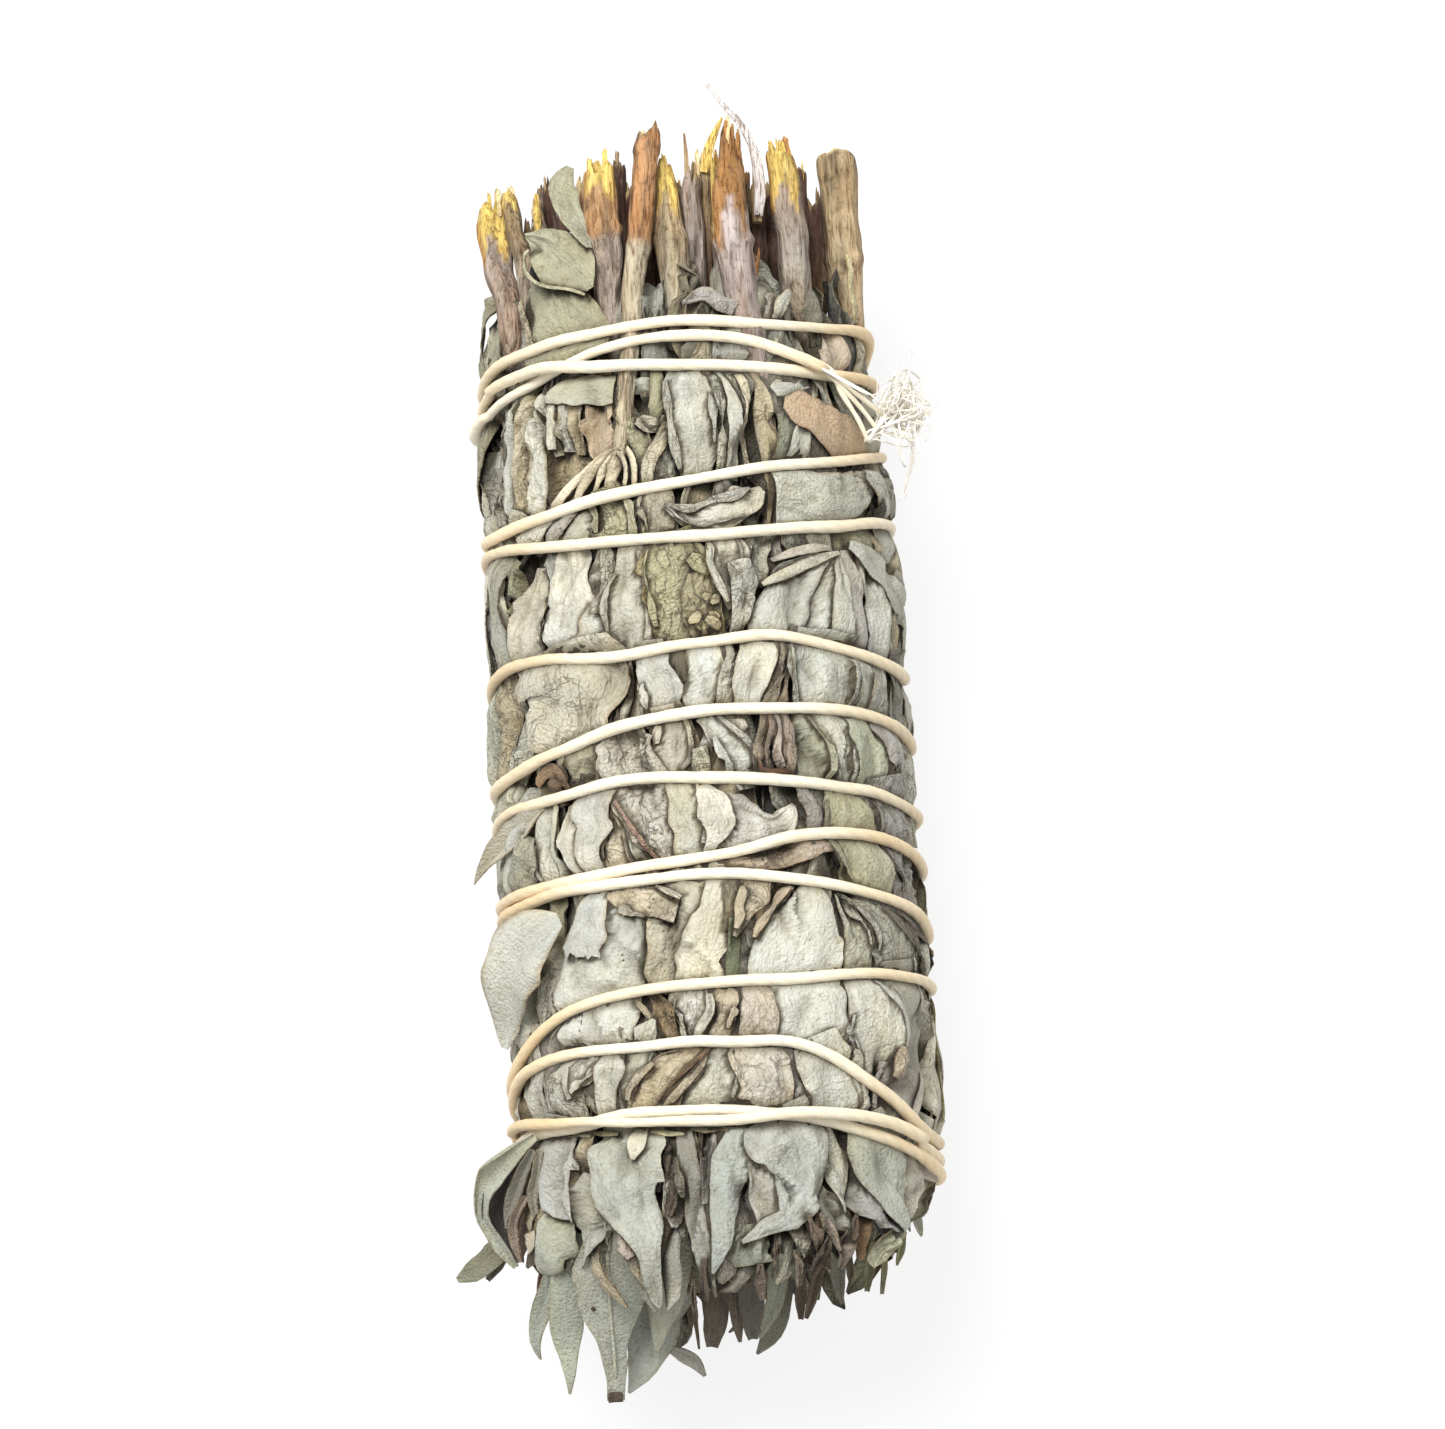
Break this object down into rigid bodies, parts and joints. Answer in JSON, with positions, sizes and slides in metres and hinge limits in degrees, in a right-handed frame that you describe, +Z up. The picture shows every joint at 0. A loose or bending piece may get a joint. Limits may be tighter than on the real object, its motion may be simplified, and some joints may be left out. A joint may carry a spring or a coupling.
{
  "type": "sage bunch",
  "caption": "Tied bundle of dried sage: cut woody stems at one end, leaf tips at the other, wrapped in leaves and spirally bound with cream cotton twine.",
  "frame": {"origin": "bottom centre of the bunch's box, on the surface it lies on", "axes": "+Y along the bunch towards the cut stems, +X across it, +Z up"},
  "size_m": [0.0352, 0.101, 0.0316],
  "materials": {
    "sage_leaf": "dry matt grey-green leaf with a felted nap, fine net of veins and curled olive, tan and pinkish edges",
    "sage_stem": "grey-brown and mauve ridged bark on a woody stem, with torn yellow and orange fibres at the cut end",
    "twine": "cream waxed cotton twine, tightly laid, with a frayed white free end"
  },
  "bodies": {
    "root": {"outer_leaf_01": "sage_leaf", "outer_leaf_02": "sage_leaf", "outer_leaf_03": "sage_leaf", "outer_leaf_04": "sage_leaf", "outer_leaf_05": "sage_leaf", "outer_leaf_06": "sage_leaf", "outer_leaf_07": "sage_leaf", "outer_leaf_08": "sage_leaf", "outer_leaf_09": "sage_leaf", "outer_leaf_10": "sage_leaf", "outer_leaf_11": "sage_leaf", "outer_leaf_12": "sage_leaf", "outer_leaf_13": "sage_leaf", "outer_leaf_14": "sage_leaf", "outer_leaf_15": "sage_leaf", "outer_leaf_16": "sage_leaf", "outer_leaf_17": "sage_leaf", "outer_leaf_18": "sage_leaf", "outer_leaf_19": "sage_leaf", "outer_leaf_20": "sage_leaf", "outer_leaf_21": "sage_leaf", "outer_leaf_22": "sage_leaf", "outer_leaf_23": "sage_leaf", "outer_leaf_24": "sage_leaf", "outer_leaf_25": "sage_leaf", "outer_leaf_26": "sage_leaf", "outer_leaf_27": "sage_leaf", "tip_leaf_01": "sage_leaf", "tip_leaf_02": "sage_leaf", "tip_leaf_03": "sage_leaf", "tip_leaf_04": "sage_leaf", "tip_leaf_05": "sage_leaf", "tip_leaf_06": "sage_leaf", "tip_leaf_07": "sage_leaf", "tip_leaf_08": "sage_leaf", "tip_leaf_09": "sage_leaf", "sprig_01": "sage_stem", "sprig_02": "sage_stem", "sprig_03": "sage_stem", "sprig_04": "sage_stem", "sprig_05": "sage_stem", "sprig_06": "sage_stem", "sprig_07": "sage_stem", "sprig_08": "sage_stem", "sprig_09": "sage_stem", "sprig_10": "sage_stem", "sprig_11": "sage_stem", "sprig_12": "sage_stem", "sprig_13": "sage_stem", "sprig_14": "sage_stem", "sprig_15": "sage_stem", "sprig_16": "sage_stem", "sprig_17": "sage_stem", "sprig_18": "sage_stem", "sprig_19": "sage_stem", "sprig_20": "sage_stem", "sprig_21": "sage_stem", "binding_twine": "twine"}
  },
  "joints": []
}
